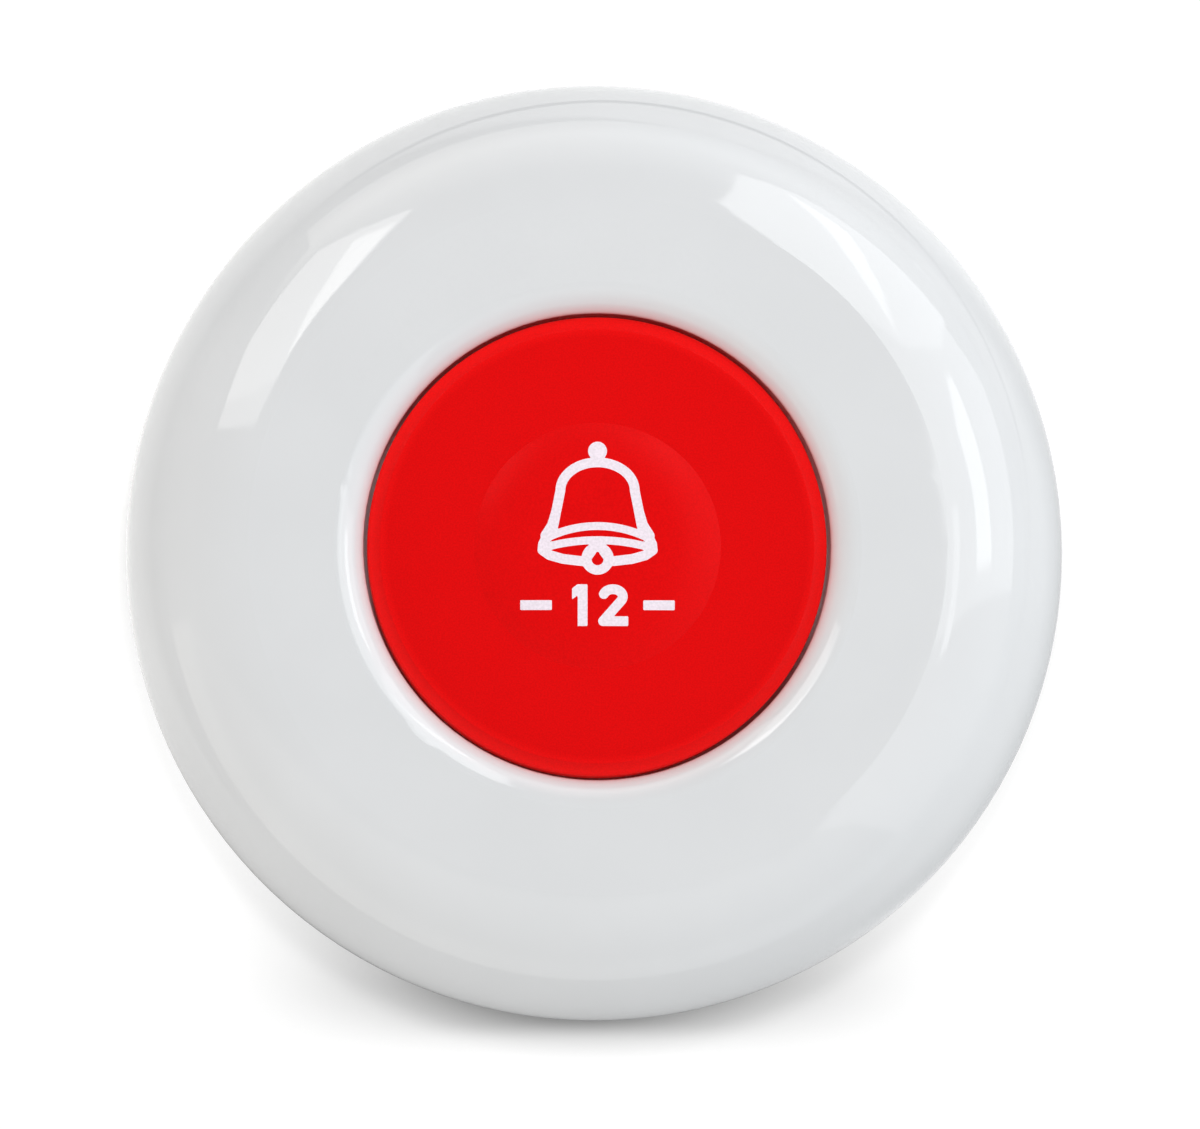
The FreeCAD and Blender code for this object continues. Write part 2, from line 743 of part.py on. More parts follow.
def make_chip():
    """Moulded package of the transmitter chip, with its pin-one dimple."""
    length, width, height = chip_size
    body = block((length, width, height - leg_t / 2.0), board_z1 + leg_t / 2.0, chip_pos)
    dimple = (chip_pos[0] - length / 2.0 + pin_dot_inset,
              chip_pos[1] - width / 2.0 + pin_dot_inset)
    return body.cut(disc(pin_dot_r, board_z1 + height - pin_dot_d,
                         board_z1 + height + bore_over, dimple))


def make_chip_leads():
    """Gull-wing leads along the package's two long sides."""
    leads = []
    first = -(chip_leads_per_side - 1) / 2.0 * chip_lead_pitch
    for side in (-1, 1):
        for i in range(chip_leads_per_side):
            lead = gull_lead(chip_lead_out, chip_lead_w, chip_size[2])
            lead.rotate(Vector(0, 0, 0), Vector(0, 0, 1), side * 90.0)
            x = chip_pos[0] + first + i * chip_lead_pitch
            y = chip_pos[1] + side * chip_size[1] / 2.0
            lead.translate(Vector(x, y, board_z1))
            leads.append(lead)
    return leads


def make_crystal():
    """Metal can on a thin ceramic base."""
    length, width, height = crystal_size
    foot = block((length, width, crystal_foot_h), board_z1, crystal_pos)
    lid = block((length - 2.0 * crystal_rim, width - 2.0 * crystal_rim, height - crystal_foot_h),
                board_z1 + crystal_foot_h, crystal_pos)
    return foot.fuse(lid).removeSplitter()


def make_transistor():
    """Three-lead transistor; its leads are one piece with the package."""
    length, width, height = transistor_size
    body = block((length, width, height), board_z1, transistor_pos)
    for x, side in ((-length / 3.0, -1), (length / 3.0, -1), (0.0, 1)):
        lead = gull_lead(transistor_lead_out, chip_lead_w, height)
        lead.rotate(Vector(0, 0, 0), Vector(0, 0, 1), side * 90.0)
        spot = Vector(transistor_pos[0] + x, transistor_pos[1] + side * width / 2.0, board_z1)
        lead.translate(spot)
        body = body.fuse(lead)
    return body.removeSplitter()


def make_led():
    """Chip lamp under the window of the well's floor, with a domed lens."""
    length, width, height = led_size
    base = block((length, width, led_base_h), board_z1, led_pos)
    lens = block((led_lens[0], led_lens[1], height - led_base_h), board_z1 + led_base_h, led_pos)
    top = [edge for edge in lens.Edges if edge.BoundBox.ZMin > board_z1 + height - fit]
    lens = lens.makeFillet(led_lens_round, top)
    return base.fuse(lens).removeSplitter()


def chip_part(size, spot):
    """Small two-ended part: a body with slightly taller soldered ends."""
    length, width, height = size
    piece = block((length - 2.0 * terminal_l, width - 2.0 * terminal_over,
                   height - terminal_over), board_z1, spot)
    for side in (-1, 1):
        end = (spot[0] + side * (length - terminal_l) / 2.0, spot[1])
        piece = piece.fuse(block((terminal_l, width, height), board_z1, end))
    return piece.removeSplitter()


def make_antenna():
    """Helical antenna that lies along the board's edge, with its two ends soldered."""
    z = board_z1 + antenna_lift + antenna_r + antenna_wire / 2.0
    y0 = -antenna_l / 2.0
    winding = coil(antenna_r, antenna_wire, antenna_turns, antenna_l, Vector(0, 0, 0))
    winding.rotate(Vector(0, 0, 0), Vector(1, 0, 0), -90)
    winding.rotate(Vector(0, 0, 0), Vector(0, 1, 0), 90)
    winding.translate(Vector(antenna_x, y0, z))
    leads = []
    top_z = z - antenna_r + antenna_wire / 4.0
    for y in (y0, y0 + antenna_l):
        leads.append(disc(antenna_wire / 2.0 + fit, board_z1, top_z, (antenna_x, y)))
    return winding.fuse(leads)


# ---------------------------------------------------------------- battery and door


def make_cell_can():
    """Outer cup of the coin cell, the positive side, with its rim crimped inward."""
    cup = disc(cell_r, cell_z0, cell_z1 - cell_crimp_h)
    cup = cup.cut(disc(cell_r - cell_skin, cell_z0 + cell_skin, cell_z1))
    return cup.makeFillet(cell_round, circle_edges(cup, cell_r, cell_z0))


def make_cell_seal():
    """Plastic ring between the cell's cup and cap."""
    return tube(cell_r - cell_skin, cell_cap_r, cell_z0 + cell_skin, cell_z1 - cell_crimp_h)


def make_cell_cap():
    """Negative cap, solid down to the bottom of the cup."""
    cap = disc(cell_cap_r, cell_z0 + cell_skin, cell_z1)
    return cap.makeFillet(cell_skin, circle_edges(cap, cell_cap_r, cell_z1))


def make_side_contacts():
    """Two strips under the board that spring against the cell's side."""
    strips = []
    tip_z = lug_z1 + clear
    inner = cell_r + fit
    for angle in (0.0, 180.0):
        foot = Part.makeBox(strip_foot, strip_w, strip_t,
                            Vector(inner, -strip_w / 2.0, board_z0 - strip_t))
        blade = Part.makeBox(strip_t, strip_w, board_z0 - tip_z,
                             Vector(inner, -strip_w / 2.0, tip_z))
        strip = foot.fuse(blade).removeSplitter()
        strip.rotate(Vector(0, 0, 0), Vector(0, 0, 1), angle)
        strips.append(strip)
    return strips


def make_leaf_contact():
    """Bowed leaf under the board that presses on the cell's negative cap."""
    room = board_z0 - cell_z1 - fit
    half = leaf_l / 2.0
    bow = room - strip_t
    radius = (half ** 2 + bow ** 2) / (2.0 * bow)
    centre_z = cell_z1 + fit + strip_t / 2.0 + radius
    turn = math.degrees(math.asin(half / radius))
    inner, outer = radius - strip_t / 2.0, radius + strip_t / 2.0
    low, high = -90.0 - turn, -90.0 + turn

    def on(reach, angle):
        way = math.radians(angle)
        return (reach * math.cos(way), centre_z + reach * math.sin(way))

    edges = [
        arc((0.0, centre_z), outer, low, high),
        line(*on(outer, high), *on(inner, high)),
        arc((0.0, centre_z), inner, high, low),
        line(*on(inner, low), *on(outer, low)),
    ]
    bowed = Part.Face(Part.Wire(edges)).extrude(Vector(0, leaf_w, 0))
    bowed.translate(Vector(0, -leaf_w / 2.0, 0))
    bowed = bowed.common(block((leaf_l, leaf_w, board_z0), 0.0))
    for side in (-1, 1):
        pad = block((leaf_w / 2.0, leaf_w, strip_t), board_z0 - strip_t,
                    (side * (half - strip_t), 0.0))
        bowed = bowed.fuse(pad)
    return bowed.removeSplitter()


def make_door():
    """Round door with a coin slot, a collar with three lugs, and a rib under the cell."""
    door = disc(door_r, under_z, door_z)
    door = door.makeFillet(edge_round, circle_edges(door, door_r, under_z))
    door = door.fuse(tube(collar_out_r, collar_in_r, door_z - door_t / 2.0, lug_z1))
    for angle in lug_angles:
        door = door.fuse(sector(lug_r, collar_out_r - collar_t / 2.0, lug_z0, lug_z1,
                                angle, lug_span))
    door = door.fuse(tube(cell_rib_r, cell_rib_r - cell_rib_t, door_z - door_t / 2.0,
                          door_z + cell_rib_h))
    flat = slot_l - slot_w
    slot = block((flat, slot_w, slot_d + bore_over), under_z - bore_over)
    for side in (-1, 1):
        slot = slot.fuse(disc(slot_w / 2.0, under_z - bore_over, under_z + slot_d,
                              (side * flat / 2.0, 0.0)))
    door = door.cut(slot)
    seal_mid = (ledge_r + door_seat_r) / 2.0
    groove = tube(seal_mid + door_seal_r + fit, seal_mid - door_seal_r - fit,
                  door_z - 2.0 * door_seal_r, door_z + bore_over)
    door = door.cut(groove.cut(disc(collar_out_r, 0.0, body_h)))
    mark = ring_point(door_r - mark_edge, -90.0)
    door = door.cut(disc(mark_r, under_z - bore_over, under_z + mark_d, (mark.x, mark.y)))
    return door.removeSplitter()


def make_door_seal():
    """Round rubber ring in the groove of the door, facing the ledge."""
    seal_mid = (ledge_r + door_seat_r) / 2.0
    return Part.makeTorus(seal_mid, door_seal_r, Vector(0, 0, door_z - door_seal_r))


# ---------------------------------------------------------------- build

os.makedirs("parts", exist_ok=True)

save("top_shell", make_top_shell())
save("base_shell", make_base_shell())
save("housing_gasket", make_gasket())
save("rubber_feet", *make_feet())
save("housing_screws", *make_housing_screws())

save("button_cap", make_button_cap())
save("return_spring", make_return_spring())

save("switch_housing", make_switch_housing())
save("switch_cover", make_switch_cover())
save("switch_plunger", make_plunger())
save("switch_dome", make_dome_contact())
save("switch_legs", *make_switch_legs())

save("circuit_board", make_board())
save("board_screws", *make_board_screws())
save("transmitter_chip", make_chip())
save("chip_leads", *make_chip_leads())
save("crystal", make_crystal())
save("transistor", make_transistor())
save("indicator_led", make_led())
save("inductors", *[chip_part(inductor_size, spot) for spot in inductor_spots])
save("capacitors", *[chip_part(chip_part_size, spot) for spot in capacitor_spots])
save("resistors", *[chip_part(chip_part_size, spot) for spot in resistor_spots])
save("antenna_coil", make_antenna())

save("battery_can", make_cell_can())
save("battery_seal", make_cell_seal())
save("battery_cap", make_cell_cap())
save("side_contacts", *make_side_contacts())
save("leaf_contact", make_leaf_contact())
save("battery_door", make_door())
save("door_seal", make_door_seal())
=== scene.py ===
# Waiter call button: finishes, printed sign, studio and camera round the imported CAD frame.
# Everything is in metres, in the CAD's own frame: +Z is the button's axis and z = 0 is the table.

import math

import bmesh
import bpy
import numpy as np
from mathutils import Matrix, Vector


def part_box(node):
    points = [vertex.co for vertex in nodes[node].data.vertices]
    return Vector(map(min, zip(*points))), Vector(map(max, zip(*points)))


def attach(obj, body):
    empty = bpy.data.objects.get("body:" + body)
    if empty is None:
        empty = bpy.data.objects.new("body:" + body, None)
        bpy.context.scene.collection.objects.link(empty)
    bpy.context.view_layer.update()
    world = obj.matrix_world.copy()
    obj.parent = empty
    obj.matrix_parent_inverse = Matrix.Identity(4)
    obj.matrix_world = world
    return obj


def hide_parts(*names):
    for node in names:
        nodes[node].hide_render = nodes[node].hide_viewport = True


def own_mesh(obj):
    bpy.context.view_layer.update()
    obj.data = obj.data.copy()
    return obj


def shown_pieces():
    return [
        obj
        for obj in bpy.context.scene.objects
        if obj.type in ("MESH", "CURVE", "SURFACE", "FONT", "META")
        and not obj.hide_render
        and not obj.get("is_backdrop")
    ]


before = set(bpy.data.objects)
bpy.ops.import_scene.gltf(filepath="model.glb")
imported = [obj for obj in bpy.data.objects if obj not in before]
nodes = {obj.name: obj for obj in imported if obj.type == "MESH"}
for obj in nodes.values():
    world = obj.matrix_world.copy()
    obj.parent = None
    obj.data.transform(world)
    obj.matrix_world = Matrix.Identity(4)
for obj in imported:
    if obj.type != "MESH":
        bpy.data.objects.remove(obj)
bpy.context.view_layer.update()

MM = 0.001

# ---------------------------------------------------------------- sizes shared with the CAD

button_r = 14.6 * MM
painted_glow_span = (button_r - 1.3 * MM, button_r - 0.02 * MM)    # where the button's edge has its painted glow
pad_flat_r = 4.6 * MM        # flat middle of the button's raised pad
pad_r = 7.85 * MM
pad_h = 0.5 * MM
pad_top_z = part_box("button_cap")[1].z
pad_arc_r = ((pad_r - pad_flat_r) ** 2 + pad_h ** 2) / (2.0 * pad_h)
widest_z = 9.07 * MM         # height of the housing's widest place

button_travel = 0.8 * MM
plunger_travel = 0.25 * MM
spring_base_z = 11.8 * MM    # floor of the button's well, which the spring stands on
dome_base_z = 9.5 * MM       # floor of the switch, under its snap dome

# ---------------------------------------------------------------- helpers

noise_span = (0.3, 0.7)      # where most of a noise's values lie
colour_span = (0.35, 0.65)   # the part of them that the colours are spread over


def srgb(red, green, blue):
    """Colour from 0-255 screen levels as linear RGBA."""
    def linear(level):
        c = level / 255.0
        return c / 12.92 if c <= 0.04045 else ((c + 0.055) / 1.055) ** 2.4
    return (linear(red), linear(green), linear(blue), 1.0)


def add_object(name, data):
    """A new object of the data, in the scene."""
    made = bpy.data.objects.new(name, data)
    bpy.context.scene.collection.objects.link(made)
    return made


class Nets:
    """Adds nodes and links to a node tree."""

    def __init__(self, tree):
        self.tree = tree

    def node(self, kind, vector=None, **settings):
        """A node with its settings, fed with a vector where one is given."""
        made = self.tree.nodes.new(kind)
        for key, value in settings.items():
            setattr(made, key, value)
        if vector is not None:
            self.link(vector, made.inputs["Vector"])
        return made

    def link(self, source, target):
        self.tree.links.new(source, target)

    def show(self, shader):
        """Makes a shader node the material's surface."""
        self.link(shader.outputs[0], self.tree.nodes["Material Output"].inputs["Surface"])

    def math(self, operation, first, second):
        """Two numbers worked together; each is a float or a socket."""
        made = self.node("ShaderNodeMath", operation=operation)
        for socket, value in zip(made.inputs, (first, second)):
            if isinstance(value, float):
                socket.default_value = value
            else:
                self.link(value, socket)
        return made.outputs[0]

    def times(self, first, *others):
        """Product of all the values."""
        for other in others:
            first = self.math("MULTIPLY", first, other)
        return first

    def largest(self, first, *others):
        """Largest of all the values."""
        for other in others:
            first = self.math("MAXIMUM", first, other)
        return first

    def ramp(self, value, span, low, high, shape="SMOOTHSTEP"):
        """Value across a span, from its first end to its second, mapped on to low..high."""
        made = self.node("ShaderNodeMapRange", interpolation_type=shape)
        ends = {"From Min": span[0], "From Max": span[1], "To Min": low, "To Max": high}
        for name, number in ends.items():
            made.inputs[name].default_value = number
        self.link(value, made.inputs["Value"])
        return made.outputs["Result"]

    def blend(self, share, first, second):
        """Colour that goes from the first to the second as the share goes from 0 to 1."""
        made = self.node("ShaderNodeMixRGB")
        self.link(share, made.inputs["Fac"])
        for name, colour in (("Color1", first), ("Color2", second)):
            if isinstance(colour, tuple):
                made.inputs[name].default_value = colour
            else:
                self.link(colour, made.inputs[name])
        return made.outputs["Color"]

    def parts(self, vector):
        """The X, Y and Z of a vector."""
        return self.node("ShaderNodeSeparateXYZ", vector).outputs

    def length(self, vector):
        return self.node("ShaderNodeVectorMath", vector, operation="LENGTH").outputs["Value"]

    def rays(self):
        """Whether a ray comes from the camera, and whether it was mirrored or went through."""
        path = self.node("ShaderNodeLightPath").outputs
        mirrored = self.math("MAXIMUM", path["Is Glossy Ray"], path["Is Transmission Ray"])
        return path["Is Camera Ray"], mirrored


class Finish(Nets):
    """One procedural material: a Principled shader and the nodes that feed it."""

    def __init__(self, name, colour, roughness, metallic=0.0):
        self.material = bpy.data.materials.new(name)
        self.material.use_nodes = True
        super().__init__(self.material.node_tree)
        self.shader = self.tree.nodes["Principled BSDF"]
        self.shader.inputs["Base Color"].default_value = colour
        self.shader.inputs["Roughness"].default_value = roughness
        self.shader.inputs["Metallic"].default_value = metallic
        self.material.diffuse_color = colour
        self.place = self.node("ShaderNodeTexCoord").outputs["Object"]
        self.normal = None

    def noise(self, size, detail=3.0, stretch=None):
        """Noise whose grains are about as large as size, in metres."""
        where = self.place
        if stretch:
            mapping = self.node("ShaderNodeMapping", self.place)
            mapping.inputs["Scale"].default_value = stretch
            where = mapping.outputs["Vector"]
        made = self.node("ShaderNodeTexNoise", where)
        made.inputs["Scale"].default_value = 1.0 / size
        made.inputs["Detail"].default_value = detail
        return made.outputs["Fac"]

    def colour_ramp(self, value, low, high, span):
        """Value across a span, spread between two colours."""
        made = self.node("ShaderNodeValToRGB")
        for element, place, colour in zip(made.color_ramp.elements, span, (low, high)):
            element.position = place
            element.color = colour
        self.link(value, made.inputs["Fac"])
        return made.outputs["Color"]

    def colour(self, value, low, high):
        """Surface colour that follows a noise."""
        self.link(self.colour_ramp(value, low, high, colour_span),
                  self.shader.inputs["Base Color"])

    def roughness(self, value, low, high):
        """Roughness that follows a noise."""
        self.link(self.ramp(value, noise_span, low, high, "LINEAR"),
                  self.shader.inputs["Roughness"])

    def bump(self, value, depth, strength):
        """Relief of a depth in metres on top of what is there."""
        made = self.node("ShaderNodeBump")
        made.inputs["Strength"].default_value = strength
        made.inputs["Distance"].default_value = depth
        self.link(value, made.inputs["Height"])
        if self.normal:
            self.link(self.normal, made.inputs["Normal"])
        self.normal = made.outputs["Normal"]
        self.link(self.normal, self.shader.inputs["Normal"])

    def glow(self, value, span, colour):
        """Painted light: a glow of the surface's own that comes up as the value crosses a span."""
        rise = self.ramp(value, span, 0.0, 1.0, "LINEAR")
        self.link(self.colour_ramp(rise, srgb(0, 0, 0), colour, (0.0, 1.0)),
                  self.shader.inputs["Emission Color"])
        self.shader.inputs["Emission Strength"].default_value = 1.0

    def from_axis(self):
        """Distance from the button's axis."""
        flat = self.node("ShaderNodeVectorMath", self.place, operation="MULTIPLY")
        flat.inputs[1].default_value = (1.0, 1.0, 0.0)
        return self.length(flat.outputs["Vector"])

    def coat(self, weight, roughness):
        """Clear coat over the surface."""
        self.shader.inputs["Coat Weight"].default_value = weight
        self.shader.inputs["Coat Roughness"].default_value = roughness


# ---------------------------------------------------------------- finishes


def shade(colour, factor):
    """A colour made lighter or darker."""
    return tuple(min(1.0, c * factor) for c in colour[:3]) + (1.0,)


def gloss_white():
    """Polished dome: a hard gloss with faint waviness and finger haze."""
    white = srgb(215, 216, 218)
    finish = Finish("white_gloss_plastic", white, 0.1)
    finish.colour(finish.noise(9 * MM), shade(white, 0.988), shade(white, 1.008))
    finish.roughness(finish.noise(3.5 * MM, 4.0), 0.04, 0.075)
    finish.bump(finish.noise(2.6 * MM, 2.0), 0.0012 * MM, 0.6)
    finish.shader.inputs["IOR"].default_value = 1.5
    return finish.material


def satin_white():
    """Moulded underside: fine spark-eroded grain."""
    white = srgb(214, 214, 215)
    finish = Finish("white_satin_plastic", white, 0.45)
    finish.colour(finish.noise(6 * MM), shade(white, 0.97), shade(white, 1.01))
    finish.roughness(finish.noise(0.5 * MM), 0.38, 0.52)
    finish.bump(finish.noise(0.12 * MM, 2.0), 0.01 * MM, 0.5)
    return finish.material


def red_satin():
    """Red button: satin, finely speckled, with rubbed patches and hairline scratches.

    Its edge and side wall have a painted glow, dark red light of their own that stands in for
    light through the translucent plastic.
    """
    red = srgb(217, 6, 8)
    finish = Finish("red_plastic", red, 0.34)
    finish.shader.inputs["Specular IOR Level"].default_value = 0.1
    speckle = finish.noise(0.11 * MM, 2.0)
    finish.colour(speckle, shade(red, 0.93), shade(red, 1.06))
    finish.roughness(finish.noise(1.6 * MM, 5.0), 0.31, 0.37)
    finish.bump(speckle, 0.004 * MM, 0.45)
    scratches = finish.noise(0.5 * MM, 3.0, (1.0, 7.0, 1.0))
    finish.bump(scratches, 0.0025 * MM, 0.3)
    # painted glow: the button's edge and side wall give off dark red light of their own
    finish.glow(finish.from_axis(), painted_glow_span, srgb(127, 14, 12))
    return finish.material


def ink_white():
    """Screen-printed ink: matt, very slightly lilac, thin in places."""
    ink = srgb(236, 224, 234)
    finish = Finish("print_ink", ink, 0.55)
    finish.colour(finish.noise(0.16 * MM, 2.0), shade(ink, 0.9), shade(ink, 1.03))
    finish.bump(finish.noise(0.08 * MM, 2.0), 0.004 * MM, 0.4)
    return finish.material


def rubber(name, colour, grain):
    """Matt rubber with a dusty, slightly uneven surface."""
    finish = Finish(name, colour, 0.75)
    finish.colour(finish.noise(1.2 * MM, 5.0), shade(colour, 0.8), shade(colour, 1.15))
    finish.roughness(finish.noise(0.6 * MM), 0.65, 0.85)
    finish.bump(finish.noise(grain, 3.0), 0.015 * MM, 0.6)
    return finish.material


def metal(name, colour, roughness, brush, along=(1.0, 1.0, 1.0)):
    """Metal with drawn or brushed lines along one direction."""
    finish = Finish(name, colour, roughness, 1.0)
    lines = finish.noise(brush, 4.0, along)
    finish.colour(lines, shade(colour, 0.85), shade(colour, 1.08))
    finish.roughness(lines, roughness * 0.75, roughness * 1.3)
    finish.bump(lines, 0.003 * MM, 0.4)
    return finish.material


def moulded(name, colour, roughness, grain):
    """Plain moulded plastic or ceramic with a fine grain."""
    finish = Finish(name, colour, roughness)
    finish.colour(finish.noise(grain * 8.0), shade(colour, 0.9), shade(colour, 1.08))
    finish.roughness(finish.noise(grain * 3.0), roughness * 0.85, roughness * 1.15)
    finish.bump(finish.noise(grain, 2.0), 0.008 * MM, 0.5)
    return finish.material


def laminate():
    """Green solder mask over copper tracks on glass-fibre board."""
    mask = srgb(18, 92, 48)
    finish = Finish("board_laminate", mask, 0.3)
    tracks = finish.node("ShaderNodeTexBrick")
    tracks.inputs["Scale"].default_value = 1.0 / (2.4 * MM)
    tracks.inputs["Mortar Size"].default_value = 0.09
    tracks.inputs["Mortar Smooth"].default_value = 0.1
    tracks.inputs["Brick Width"].default_value = 1.6
    tracks.inputs["Row Height"].default_value = 0.55
    tracks.inputs["Color1"].default_value = mask
    tracks.inputs["Color2"].default_value = shade(mask, 0.86)
    tracks.inputs["Mortar"].default_value = srgb(52, 138, 74)
    finish.link(finish.place, tracks.inputs["Vector"])
    finish.link(tracks.outputs["Color"], finish.shader.inputs["Base Color"])
    finish.bump(tracks.outputs["Fac"], 0.03 * MM, 0.5)
    finish.bump(finish.noise(0.3 * MM), 0.004 * MM, 0.4)
    finish.coat(0.4, 0.12)
    return finish.material


def clear_lamp():
    """Milky epoxy of the chip lamp."""
    milk = srgb(236, 226, 190)
    finish = Finish("lamp_plastic", milk, 0.18)
    finish.colour(finish.noise(0.4 * MM), shade(milk, 0.93), shade(milk, 1.03))
    finish.bump(finish.noise(0.2 * MM), 0.002 * MM, 0.4)
    return finish.material


def dress_nodes():
    """Puts a finish on every CAD node."""
    satin = satin_white()
    screw_steel = metal("screw_steel", srgb(196, 197, 199), 0.3, 0.25 * MM, (1.0, 1.0, 6.0))
    contact = metal("contact_metal", srgb(206, 205, 200), 0.28, 0.2 * MM, (5.0, 1.0, 1.0))
    black = moulded("black_plastic", srgb(30, 30, 32), 0.5, 0.1 * MM)
    cell = metal("cell_steel", srgb(204, 205, 206), 0.22, 0.3 * MM, (1.0, 5.0, 1.0))
    finishes = {
        "top_shell": gloss_white(),
        "base_shell": satin,
        "battery_door": satin,
        "housing_gasket": rubber("grey_silicone", srgb(150, 152, 155), 0.2 * MM),
        "door_seal": rubber("seal_silicone", srgb(120, 122, 126), 0.2 * MM),
        "rubber_feet": rubber("foot_rubber", srgb(62, 62, 64), 0.15 * MM),
        "housing_screws": screw_steel,
        "board_screws": screw_steel,
        "button_cap": red_satin(),
        "return_spring": metal("spring_steel", srgb(178, 179, 182), 0.25, 0.1 * MM),
        "switch_housing": black,
        "switch_cover": contact,
        "switch_plunger": moulded("plunger_plastic", srgb(44, 44, 47), 0.4, 0.1 * MM),
        "switch_dome": metal("dome_metal", srgb(214, 208, 190), 0.2, 0.2 * MM),
        "switch_legs": contact,
        "circuit_board": laminate(),
        "transmitter_chip": moulded("chip_plastic", srgb(34, 34, 36), 0.55, 0.06 * MM),
        "chip_leads": contact,
        "crystal": metal("crystal_can", srgb(208, 206, 196), 0.25, 0.2 * MM),
        "transistor": moulded("transistor_plastic", srgb(36, 36, 38), 0.5, 0.06 * MM),
        "indicator_led": clear_lamp(),
        "inductors": moulded("grey_ceramic", srgb(112, 114, 118), 0.5, 0.08 * MM),
        "capacitors": moulded("tan_ceramic", srgb(168, 134, 96), 0.45, 0.08 * MM),
        "resistors": moulded("dark_ceramic", srgb(38, 40, 46), 0.4, 0.08 * MM),
        "antenna_coil": metal("spring_brass", srgb(212, 178, 96), 0.25, 0.15 * MM),
        "battery_can": cell,
        "battery_cap": cell,
        "battery_seal": moulded("seal_plastic", srgb(70, 72, 78), 0.5, 0.1 * MM),
        "side_contacts": contact,
        "leaf_contact": contact,
    }
    for name, material in finishes.items():
        mesh = nodes[name].data
        mesh.materials.clear()
        mesh.materials.append(material)


def springs():
    """Copies of the button's spring and the switch's snap dome, hung on the housing."""
    for name, node, joint, base_z, travel in (
            ("coil_spring", "return_spring", "button_press", spring_base_z, button_travel),
            ("snap_dome", "switch_dome", "plunger_press", dome_base_z, plunger_travel)):
        piece = add_object(name, nodes[node].data.copy())
        piece.matrix_world = nodes[node].matrix_world.copy()
        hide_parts(node)
        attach(piece, "housing")
        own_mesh(piece)


# ---------------------------------------------------------------- printed sign

ink_t = 0.02 * MM            # thickness of the ink
ink_sunk = 0.03 * MM         # how far its underside lies in the button
print_cell = 0.07 * MM       # fineness of the print's mesh
print_margin = 2.0           # cells left free round the strokes
print_weld = 0.01 * print_cell


def arc_points(centre, radius, start, end, steps=24):
    """Points along an arc or an ellipse's arc; angles in degrees from +X towards +Y."""
    across, up = radius if isinstance(radius, tuple) else (radius, radius)
    turns = [math.radians(start + (end - start) * i / steps) for i in range(steps + 1)]
    return [(centre[0] + across * math.cos(t), centre[1] + up * math.sin(t)) for t in turns]


class Stroke:
    """Round-ended line through points in millimetres from the pad's middle.

    half is half its width, the same all along or one value for each point, and
    clip (left, low, right, high) cuts it off flat. A hole takes away from what is
    listed before it.
    """

    def __init__(self, points, half, clip=None, hole=False):
        self.points = points
        self.hole = hole
        self.halves = half if isinstance(half, list) else [half] * len(points)
        self.clip = clip

    def distance(self, x, y):
        """Distance from each place to the stroke's edge; negative inside."""
        best = np.full(x.shape, np.inf)
        spots = list(zip(self.points, self.halves))
        for ((ax, ay), ha), ((bx, by), hb) in zip(spots, spots[1:] or spots):
            dx, dy = bx - ax, by - ay
            length2 = dx * dx + dy * dy
            along = ((x - ax) * dx + (y - ay) * dy) / length2 if length2 else np.zeros(x.shape)
            along = np.clip(along, 0.0, 1.0)
            away = np.hypot(x - ax - along * dx, y - ay - along * dy)
            best = np.minimum(best, away - ha - along * (hb - ha))
        if self.clip:
            left, low, right, high = self.clip
            for outside in (left - x, x - right, low - y, y - high):
                best = np.maximum(best, outside)
        return best


def mirrored(points):
    """A line from the left to the middle, and on to the right."""
    return points + [(-x, y) for x, y in reversed(points) if x]


def bell_strokes():
    """Outline bell: knob, dome, flared rim with two bands, and the clapper's ring."""
    thin, line, thick = 0.25, 0.31, 0.4
    side = [(-3.22, 0.62), (-2.84, 1.3), (-2.62, 2.2), (-2.36, 3.5)]
    over = arc_points((0.0, 3.5), (2.36, 1.8), 180.0, 90.0, 18)[1:]
    dome = mirrored(side + over)
    widths = [thick, (thick + line) / 2.0] + [line] * (len(dome) - 4)
    widths += [(thick + line) / 2.0, thick]
    lip = mirrored([(-3.2, 0.62), (-3.46, 0.1), (-3.5, -0.28), (-3.05, -0.6), (-2.2, -0.84),
                    (-1.1, -0.97), (0.0, -1.0)])
    upper_band = arc_points((0.0, -5.95), 7.2, 116.5, 63.5)
    lower_band = arc_points((0.0, -12.1), 12.45, 105.5, 74.5)
    return [
        Stroke([(0.0, 6.02)], 0.6),
        Stroke(dome, widths),
        Stroke(lip, line),
        Stroke(upper_band, thin),
        Stroke(lower_band, thin),
        Stroke([(0.0, -0.82)], 1.02),
        Stroke([(0.0, -0.86), (0.0, -0.5)], [0.38, 0.12], hole=True),
    ]


def number_strokes():
    """A plain table number between two short bars."""
    half = 0.31
    low, high = -5.1, -2.45
    wide = 9.0
    upright = Stroke([(-0.95, low - half), (-0.95, high + half)], half, (-wide, low, wide, high))
    flag = Stroke([(-1.75, high - 0.72), (-0.95, high - 0.1)], half * 0.9,
                  (-1.62, low, wide, high))
    curl = arc_points((0.98, high - 0.78), (0.62, 0.47), 160.0, -32.0)
    two = Stroke(curl + [(0.35, low + half), (2.2, low + half)], half, (-wide, low, 1.95, high))
    middle = (low + high) / 2.0
    bars = []
    for x0, x1 in ((-4.9, -2.9), (2.9, 4.9)):
        bars.append(Stroke([(x0 - half, middle), (x1 + half, middle)], half,
                           (x0, -wide, x1, wide)))
    return [upright, flag, two] + bars


def pad_surface(x, y):
    """Height of the button's pad: flat in the middle, falling in an arc to its edge."""
    out = max(0.0, min(math.hypot(x, y), pad_r) - pad_flat_r)
    return pad_top_z - pad_arc_r + math.sqrt(pad_arc_r ** 2 - out ** 2)


